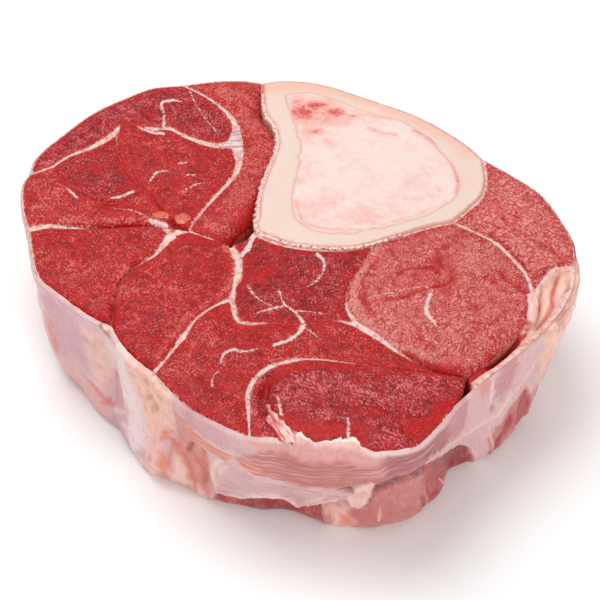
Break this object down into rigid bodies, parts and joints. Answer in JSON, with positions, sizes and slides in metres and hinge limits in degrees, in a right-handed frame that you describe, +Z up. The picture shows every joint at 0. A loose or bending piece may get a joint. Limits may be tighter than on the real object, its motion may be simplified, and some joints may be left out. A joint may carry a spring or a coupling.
{
  "type": "raw beef shank",
  "caption": "Raw beef shank slice, cut across the leg: red muscles in a web of white silverskin round a sawn marrow bone, lying flat as for cooking.",
  "frame": {"origin": "centre of the slice's plan box, on the surface that it rests on", "axes": "+Z up out of the upper cut face, +X along the slice's longer plan side towards the pale muscle at the right end, +Y away from the front edge towards the bone"},
  "size_m": [0.1637, 0.1491, 0.0438],
  "materials": {
    "lean_red": "wet raw red muscle, fine grain, soft gloss",
    "lean_dark": "wet raw muscle, darker red, fine grain, soft gloss",
    "lean_pink": "wet raw muscle, paler pink red, open grain, soft gloss",
    "bone": "sawn cream bone, smooth and matt",
    "marrow": "pale pink spongy bone with marrow, damp",
    "silverskin": "pearly silverskin, white sinew and pale fat, damp gloss"
  },
  "bodies": {
    "root": {"muscle_outer_band": "lean_red", "muscle_crescent": "lean_red", "muscle_inner_left": "lean_dark", "muscle_inner_middle": "lean_dark", "muscle_left_band": "lean_red", "muscle_left_front": "lean_red", "muscle_middle": "lean_red", "muscle_under_bone": "lean_dark", "muscle_front_centre": "lean_red", "muscle_front": "lean_red", "muscle_round": "lean_pink", "muscle_right": "lean_pink", "shin_bone": "bone", "marrow": "marrow", "silverskin_web": "silverskin"}
  },
  "joints": []
}
